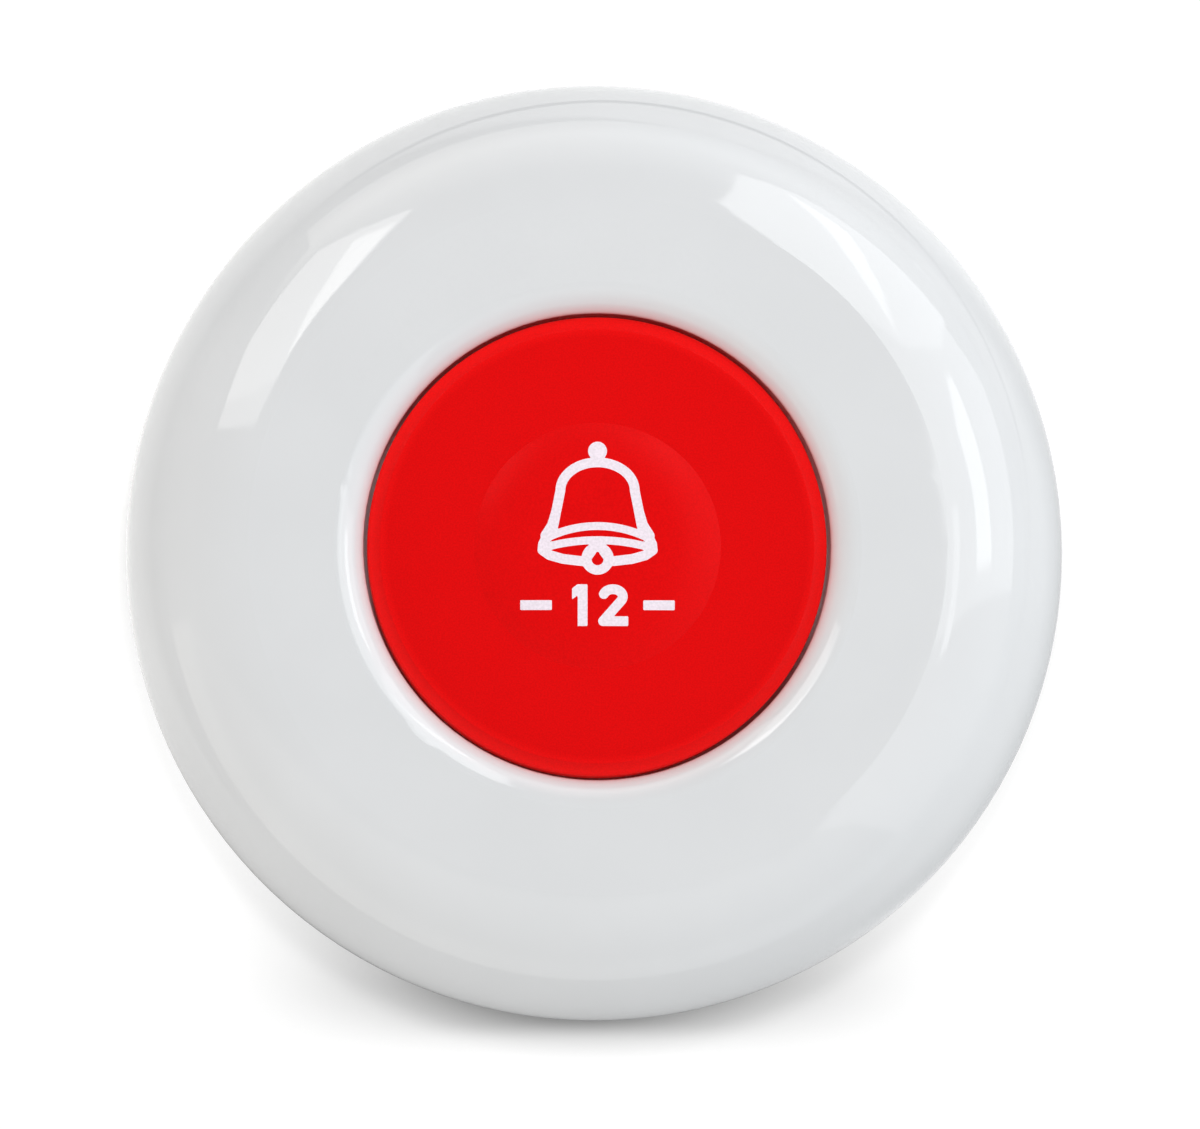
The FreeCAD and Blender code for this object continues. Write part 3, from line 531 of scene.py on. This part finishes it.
def stroke_grid(strokes):
    """Grid in millimetres round the strokes, and how far outside their union each place is."""
    cell = print_cell / MM
    margin = print_margin * cell
    reach = [(x, y, half) for stroke in strokes
             for (x, y), half in zip(stroke.points, stroke.halves)]
    xs = np.arange(min(x - half for x, y, half in reach) - margin,
                   max(x + half for x, y, half in reach) + margin, cell)
    ys = np.arange(min(y - half for x, y, half in reach) - margin,
                   max(y + half for x, y, half in reach) + margin, cell)
    grid_x, grid_y = np.meshgrid(xs, ys, indexing="ij")
    outside = np.full(grid_x.shape, np.inf)
    for stroke in strokes:
        edge = stroke.distance(grid_x, grid_y)
        outside = np.maximum(outside, -edge) if stroke.hole else np.minimum(outside, edge)
    return xs, ys, outside


def fill_strokes(bm, xs, ys, outside):
    """Flat faces for the cells inside the strokes, cut off along the strokes' edge."""
    made = {}

    def corner(i, j):
        if (i, j) not in made:
            made[i, j] = bm.verts.new((xs[i] * MM, ys[j] * MM, 0.0))
        return made[i, j]

    def crossing(a, b):
        first, second = min(a, b), max(a, b)
        if (first, second) not in made:
            share = outside[first] / (outside[first] - outside[second])
            x = xs[first[0]] + (xs[second[0]] - xs[first[0]]) * share
            y = ys[first[1]] + (ys[second[1]] - ys[first[1]]) * share
            made[first, second] = bm.verts.new((x * MM, y * MM, 0.0))
        return made[first, second]

    for i in range(len(xs) - 1):
        for j in range(len(ys) - 1):
            ring = [(i, j), (i + 1, j), (i + 1, j + 1), (i, j + 1)]
            if all(outside[p] >= 0.0 for p in ring):
                continue
            outline = []
            for p, q in zip(ring, ring[1:] + ring[:1]):
                if outside[p] < 0.0:
                    outline.append(corner(*p))
                if (outside[p] < 0.0) != (outside[q] < 0.0):
                    outline.append(crossing(p, q))
            if len(outline) > 2:
                bm.faces.new(outline)


def lay_on_pad(bm):
    """Thickens the flat faces to a closed skin that follows the pad."""
    skin = bmesh.ops.extrude_face_region(bm, geom=bm.faces[:])
    lifted = {v for v in skin["geom"] if isinstance(v, bmesh.types.BMVert)}
    for vert in bm.verts:
        base = pad_surface(vert.co.x, vert.co.y)
        vert.co.z = base + ink_t if vert in lifted else base - ink_sunk
    bmesh.ops.recalc_face_normals(bm, faces=bm.faces[:])


def print_piece(name, strokes):
    """Thin closed piece of ink in the shape of the strokes' union."""
    bm = bmesh.new()
    fill_strokes(bm, *stroke_grid(strokes))
    bmesh.ops.remove_doubles(bm, verts=bm.verts, dist=print_weld)
    lay_on_pad(bm)
    mesh = bpy.data.meshes.new(name)
    bm.to_mesh(mesh)
    bm.free()
    return add_object(name, mesh)


def print_sign():
    """The bell and the table number, which move with the button."""
    ink = ink_white()
    for name, strokes in (("printed_bell", bell_strokes()), ("printed_number", number_strokes())):
        piece = print_piece(name, strokes)
        piece.data.materials.append(ink)
        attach(piece, "button")


# ---------------------------------------------------------------- studio helpers

studio_middle = Vector((0.0, 0.0, widest_z))    # lamps, softboxes and camera stand round it
lamp_distance = 0.6
lamp_power = 4.0             # watts for each square metre of a lamp at level 1

plain = (1.0, 1.0, 1.0)
warm = (1.0, 0.985, 0.965)   # softboxes on the left
cool = (0.965, 0.985, 1.0)   # softboxes on the right
left_tint = (1.02, 1.0, 0.955)      # fill lamp and world on the left
right_tint = (0.965, 1.0, 1.015)    # fill lamp and world on the right


def toward(azimuth, tilt):
    """Unit vector at an azimuth from +X towards +Y, tilted down from +Z; degrees."""
    turn, lean = math.radians(azimuth), math.radians(tilt)
    return Vector((math.sin(lean) * math.cos(turn), math.sin(lean) * math.sin(turn),
                   math.cos(lean)))


def lamp_side(angle):
    """Side of a lamp that spans an angle in degrees, seen from the object."""
    return 2.0 * lamp_distance * math.tan(math.radians(angle / 2.0))


def lamp(name, azimuth, tilt, width, height, level, colour, lit):
    """Soft lamp for the shading of the lit collection, not mirrored; sizes in degrees."""
    data = bpy.data.lights.new(name, "AREA")
    data.shape = "RECTANGLE"
    data.size = lamp_side(width)
    data.size_y = lamp_side(height)
    data.energy = lamp_power * level * data.size * data.size_y
    data.color = colour
    made = add_object(name, data)
    away = toward(azimuth, tilt)
    place = studio_middle + away * lamp_distance
    made.matrix_world = (Matrix.Translation(place)
                         @ away.to_track_quat("Z", "Y").to_matrix().to_4x4())
    made.visible_camera = False
    made.visible_glossy = False
    made.light_linking.receiver_collection = bpy.data.collections[lit]


def make_receivers():
    """Collections for the lamps that light the object alone or the floor alone."""
    for name, members in (("object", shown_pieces()), ("floor", [bpy.data.objects["floor"]])):
        made = bpy.data.collections.new(name)
        for member in members:
            made.objects.link(member)


def stage_material(name):
    """A material with only its output, and the helper that fills it."""
    material = bpy.data.materials.new(name)
    material.use_nodes = True
    material.cycles.emission_sampling = "NONE"
    nets = Nets(material.node_tree)
    nets.tree.nodes.remove(nets.tree.nodes["Principled BSDF"])
    return material, nets


def panel(name, level, colour, corners, reach=lamp_distance):
    """Softbox that shows only as a reflection; corners are (azimuth, tilt) in degrees."""
    mesh = bpy.data.meshes.new(name)
    mesh.from_pydata([studio_middle + toward(*corner) * reach for corner in corners], [],
                     [tuple(range(len(corners)))])
    made = add_object(name, mesh)
    material, nets = stage_material(name)
    glow = nets.node("ShaderNodeEmission")
    glow.inputs["Color"].default_value = (*colour, 1.0)
    glow.inputs["Strength"].default_value = level
    nets.show(glow)
    mesh.materials.append(material)
    made.visible_camera = False
    made.visible_diffuse = False
    made.visible_shadow = False
    made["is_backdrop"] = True


# ---------------------------------------------------------------- floor

# A span says where a change starts and where it is complete.
floor_half = 2.0
floor_albedo = 0.9
floor_glow = 0.27            # what the camera sees on top of the floor's shading
far_glow = 0.7               # the same beyond the lamps' reach
glow_span = (0.1, 0.6)       # from the axis, from the one to the other
foot_span = (25.0 * MM, 29.5 * MM)      # from the axis: there is no glow under the object

# What reflections see: a sheet of paper with a dark gap past its far edge, and darker ground
# on three sides. A darkness is the share of the light that is taken away.
paper_glow = 0.32            # the paper's light on top of its shading
paper_half = 50.5 * MM       # from its middle to its far edge
paper_shift = (-3.0 * MM, 0.0)
paper_turn = 15.0            # degrees
gap_w = 4.0 * MM
gap_spread = 12.0            # how the gap widens to the left, for each metre
gap_soft = 1.0 * MM
gap_dark = 1.0
left_dark = 0.85
left_span = (30.0 * MM, 72.0 * MM)
right_dark = 0.5
right_span = (24.0 * MM, 38.0 * MM)
right_fade = (38.0 * MM, 60.0 * MM)     # farther out it falls again
right_rest = 0.2             # to this share of itself
front_dark = 0.78
front_span = (-0.3, -1.0)    # of the direction's Y: from beside the object to in front of it

# What the camera sees on the near side, where most of the floor's light is drawn.
near_level = 0.87
near_albedo = 0.2            # instead of floor_albedo
near_darkest = 0.12
near_span = (-12.0 * MM, 10.0 * MM)     # past the axis, towards the picture's lower edge
near_start = (28.8 * MM, 29.8 * MM)     # out from the axis, just inside the object's edge
near_end = (60.0 * MM, 100.0 * MM)      # out from the axis, where the plain floor takes over
shadow_left = 0.5 * MM       # how far left of the axis the drawn shadow's middle lies
soft_shadow = 0.8            # taken from near_level in the soft shadow's middle
soft_half_w = 26.0 * MM
soft_fade = (27.0 * MM, 33.0 * MM)
touch_shadow = 0.25          # taken as well where the object's edge is closest
touch_half_w = 14.0 * MM
touch_fade = (29.8 * MM, 31.3 * MM)


def reflected_darkness(nets, here, away):
    """Share of the floor's light that its reflection lacks at each place."""
    turned = nets.node("ShaderNodeMapping", here)
    turned.inputs["Location"].default_value = (-paper_shift[0], -paper_shift[1], 0.0)
    turned.inputs["Rotation"].default_value = (0.0, 0.0, math.radians(paper_turn))
    place = nets.parts(turned.outputs["Vector"])
    leftward = nets.largest(nets.times(place["X"], -1.0), 0.0)
    widening = nets.math("ADD", nets.times(leftward, gap_spread), 1.0)
    beyond = nets.math("DIVIDE", nets.math("SUBTRACT", place["Y"], paper_half), widening)
    gap = nets.times(nets.ramp(beyond, (-gap_soft, 0.0), 0.0, gap_dark),
                     nets.ramp(beyond, (gap_w, gap_w + gap_soft), 1.0, 0.0))
    left = nets.ramp(leftward, left_span, 0.0, left_dark)
    right = nets.times(nets.ramp(place["X"], right_span, 0.0, right_dark),
                       nets.ramp(place["X"], right_fade, 1.0, right_rest))
    facing = nets.math("DIVIDE", place["Y"], away)
    front = nets.ramp(facing, front_span, 0.0, front_dark)
    return nets.largest(gap, front, left, right)


def drawn_shadow(nets, sideways, nearer):
    """What the near side's soft shadow takes from its light."""
    soft = nets.times(nets.ramp(sideways, (0.0, soft_half_w), soft_shadow, 0.0),
                      nets.ramp(nearer, soft_fade, 1.0, 0.0))
    touch = nets.times(nets.ramp(sideways, (0.0, touch_half_w), touch_shadow, 0.0),
                       nets.ramp(nearer, touch_fade, 1.0, 0.0))
    return nets.math("ADD", soft, touch)


def camera_floor(nets, here, away):
    """The glow that the camera sees, and how much of each place belongs to the near side."""
    where = nets.parts(here)
    sideways = nets.math("ABSOLUTE", nets.math("ADD", where["X"], shadow_left), 0.0)
    nearer = nets.times(where["Y"], -1.0)
    around = nets.times(nets.ramp(away, near_start, 0.0, 1.0), nets.ramp(away, near_end, 1.0, 0.0))
    near_side = nets.times(nets.ramp(nearer, near_span, 0.0, 1.0), around)
    shadow = drawn_shadow(nets, sideways, nearer)
    near_glow = nets.largest(nets.math("SUBTRACT", near_level, shadow), near_darkest)
    plain_glow = nets.times(nets.ramp(away, glow_span, floor_glow, far_glow),
                            nets.ramp(away, foot_span, 0.0, 1.0))
    change = nets.times(near_side, nets.math("SUBTRACT", near_glow, plain_glow))
    return nets.math("ADD", plain_glow, change), near_side


def make_floor():
    """Wide pale floor at z = 0 that keeps the object's shadow.

    Reflections see it as a sheet of paper with darker ground round it. The camera sees it with
    a glow of its own, into which part of the near side's shadow is drawn.
    """
    mesh = bpy.data.meshes.new("floor")
    mesh.from_pydata([(-floor_half, -floor_half, 0), (floor_half, -floor_half, 0),
                      (floor_half, floor_half, 0), (-floor_half, floor_half, 0)],
                     [], [(0, 1, 2, 3)])
    floor = add_object("floor", mesh)
    material, nets = stage_material("floor")
    here = nets.node("ShaderNodeTexCoord").outputs["Object"]
    away = nets.length(here)
    seen_by_camera, mirrored = nets.rays()

    dark = reflected_darkness(nets, here, away)
    kept = nets.math("SUBTRACT", 1.0, nets.times(mirrored, dark))
    mirrored_light = nets.times(mirrored, kept, paper_glow)
    glow_seen, near_side = camera_floor(nets, here, away)
    seen = nets.times(seen_by_camera, glow_seen)
    lit = nets.math("SUBTRACT", floor_albedo,
                    nets.times(near_side, seen_by_camera, floor_albedo - near_albedo))

    matt = nets.node("ShaderNodeBsdfDiffuse")
    nets.link(nets.times(kept, lit), matt.inputs["Color"])
    glow = nets.node("ShaderNodeEmission")
    nets.link(nets.math("ADD", seen, mirrored_light), glow.inputs["Strength"])
    both = nets.node("ShaderNodeAddShader")
    nets.link(matt.outputs[0], both.inputs[0])
    nets.link(glow.outputs[0], both.inputs[1])
    nets.show(both)
    mesh.materials.append(material)
    floor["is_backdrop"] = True


# ---------------------------------------------------------------- world

# Levels are light, where 1 is white. A span is of the direction's X, Y or Z.
world_fill = 0.62            # fill light from the horizon
world_fade = 0.25            # less this from overhead
ceiling = 0.1                # what reflections see overhead
ceiling_span = (0.55, 0.2)   # from the ceiling down to the white of the low sky
front_level = 0.5            # what reflections see at least on the near side
front_slope = 0.3            # its upper edge leans this far to the near side for each step up
front_edge = (0.02, -0.02)
far_bright = 1.2             # what the far side has on top, between the two softboxes
far_span = (0.5, 0.9)
far_top = (0.9, 0.5)         # it fades overhead
far_foot = (0.0, 0.3)        # and towards the horizon
far_horizon = 0.25           # to this share of itself
side_span = (-0.5, 0.5)      # from the left's tint to the right's


def make_world():
    """White to the camera, an even fill to the shading, and a studio's walls to reflections."""
    world = bpy.data.worlds.new("studio")
    bpy.context.scene.world = world
    world.use_nodes = True
    nets = Nets(world.node_tree)
    where = nets.parts(nets.node("ShaderNodeTexCoord").outputs["Generated"])
    seen_by_camera, mirrored = nets.rays()

    low_sky = nets.ramp(where["Z"], ceiling_span, ceiling, 1.0)
    forward = nets.math("ADD", where["Y"], nets.times(where["Z"], front_slope))
    front = nets.ramp(forward, front_edge, 0.0, front_level)
    far_sky = nets.times(nets.ramp(where["Y"], far_span, 0.0, far_bright),
                         nets.ramp(where["Z"], far_top, 0.0, 1.0),
                         nets.ramp(where["Z"], far_foot, far_horizon, 1.0))
    walls = nets.math("ADD", nets.largest(low_sky, front), far_sky)
    level = nets.largest(nets.times(mirrored, walls), seen_by_camera)

    direct = nets.largest(mirrored, seen_by_camera)
    fading = nets.math("SUBTRACT", world_fill, nets.times(where["Z"], world_fade))
    fill = nets.times(nets.math("SUBTRACT", 1.0, direct), fading)
    tint = nets.blend(nets.ramp(where["X"], side_span, 0.0, 1.0),
                      (*left_tint, 1.0), (*right_tint, 1.0))
    back = nets.tree.nodes["Background"]
    nets.link(nets.blend(seen_by_camera, tint, (*plain, 1.0)), back.inputs["Color"])
    nets.link(nets.math("ADD", level, fill), back.inputs["Strength"])


# ---------------------------------------------------------------- lamps and softboxes


def make_lamps():
    """Key and fills for the shading: azimuth, tilt, width, height, level, colour, what is lit."""
    lamp("key", 90.0, 11.0, 9.0, 9.0, 25.0, plain, "object")
    lamp("soft_key", 78.0, 42.0, 24.0, 24.0, 4.4, plain, "object")
    lamp("fill_right", -8.0, 66.0, 50.0, 40.0, 1.35, right_tint, "object")
    lamp("fill_front", 278.0, 72.0, 60.0, 30.0, 0.4, plain, "object")
    lamp("fill_left", 208.0, 80.0, 60.0, 20.0, 2.1, left_tint, "object")
    lamp("floor_key", 90.0, 8.0, 7.0, 7.0, 84.0, plain, "floor")


def make_left_softboxes():
    """The softbox on the left as the gloss mirrors it, and the wall behind it."""
    panel("left_box", 3.2, warm,
          [(130.0, 66.0), (115.0, 47.0), (126.0, 31.0), (145.0, 25.0), (155.0, 57.0),
           (146.0, 62.0)])
    panel("left_tail", 2.2, warm,
          [(145.0, 25.0), (155.0, 57.0), (159.0, 56.0), (153.0, 26.0)])
    panel("left_tube", 6.0, warm,
          [(125.0, 52.0), (118.0, 44.0), (127.0, 31.0), (142.0, 27.0), (135.0, 36.0)],
          reach=0.5)
    panel("left_wall", 0.25, warm,
          [(131.0, 74.0), (150.0, 63.0), (187.0, 60.0), (188.0, 94.0), (158.0, 96.0),
           (129.0, 94.0)], reach=1.2)


def make_right_softboxes():
    """The softboxes on the right as the gloss mirrors them, and the walls behind them."""
    panel("right_wall", 2.6, cool,
          [(25.0, 80.0), (6.0, 77.0), (-3.0, 76.0), (-9.0, 14.0), (0.0, 15.0), (37.0, 17.0),
           (62.0, 26.0), (58.0, 60.0)], reach=1.6)
    panel("right_haze", 1.4, cool,
          [(-3.0, 76.0), (-20.0, 78.0), (-40.0, 76.0), (-45.0, 22.0), (-9.0, 14.0)],
          reach=1.6)
    panel("right_box", 3.7, cool,
          [(69.0, 61.0), (60.0, 68.0), (48.0, 72.0), (35.0, 77.0), (32.0, 60.0), (37.0, 30.0),
           (50.0, 21.0), (67.0, 27.0), (70.0, 31.0), (69.0, 45.0)])
    panel("right_tube", 6.0, cool,
          [(62.0, 64.0), (52.0, 64.0), (48.0, 57.0), (43.0, 46.0), (38.0, 33.0), (46.0, 41.0),
           (54.0, 54.0)], reach=0.45)
    panel("right_low_box", 5.5, cool,
          [(28.0, 50.0), (28.0, 55.0), (13.0, 55.0), (1.0, 55.0), (1.0, 42.0), (12.0, 42.0),
           (21.0, 41.0)])
    panel("right_strip", 4.0, cool,
          [(13.0, 27.0), (-9.0, 27.0), (-10.0, 24.0), (13.0, 24.0)], reach=1.2)
    panel("right_far", 2.2, cool,
          [(43.0, 89.0), (30.0, 93.0), (31.0, 99.0), (43.0, 95.0)])


# ---------------------------------------------------------------- camera

view_azimuth = -27.0
view_elevation = 86.7
camera_distance = 0.8
sensor_width = 36.0          # millimetres, as Blender counts it
clip_span = (0.01, 10.0)
frame_width = 76.9 * MM      # what the picture's width covers at the housing's widest place
aim_right = 0.365 * MM       # the picture's middle, right of the button's axis
aim_up = -0.78 * MM          # and below it


def make_camera():
    """Long lens almost straight above, with +Y up in the picture."""
    data = bpy.data.cameras.new("camera")
    data.sensor_width = sensor_width
    data.lens = sensor_width / 2.0 / (frame_width / 2.0 / camera_distance)
    data.clip_start, data.clip_end = clip_span
    camera = add_object("camera", data)
    turn, rise = math.radians(view_azimuth), math.radians(view_elevation)
    back = Vector((math.sin(turn) * math.cos(rise), -math.cos(turn) * math.cos(rise),
                   math.sin(rise)))
    right = Vector((0.0, 1.0, 0.0)).cross(back).normalized()
    up = back.cross(right)
    aim = studio_middle + right * aim_right + up * aim_up
    place = aim + back * camera_distance
    turned = Matrix((right, up, back)).transposed().to_4x4()
    camera.matrix_world = Matrix.Translation(place) @ turned
    bpy.context.scene.camera = camera


# ---------------------------------------------------------------- build

scene = bpy.context.scene
scene.view_settings.view_transform = "Standard"

dress_nodes()
springs()
print_sign()
make_floor()
make_receivers()
make_world()
make_lamps()
make_left_softboxes()
make_right_softboxes()
make_camera()

bpy.context.view_layer.update()
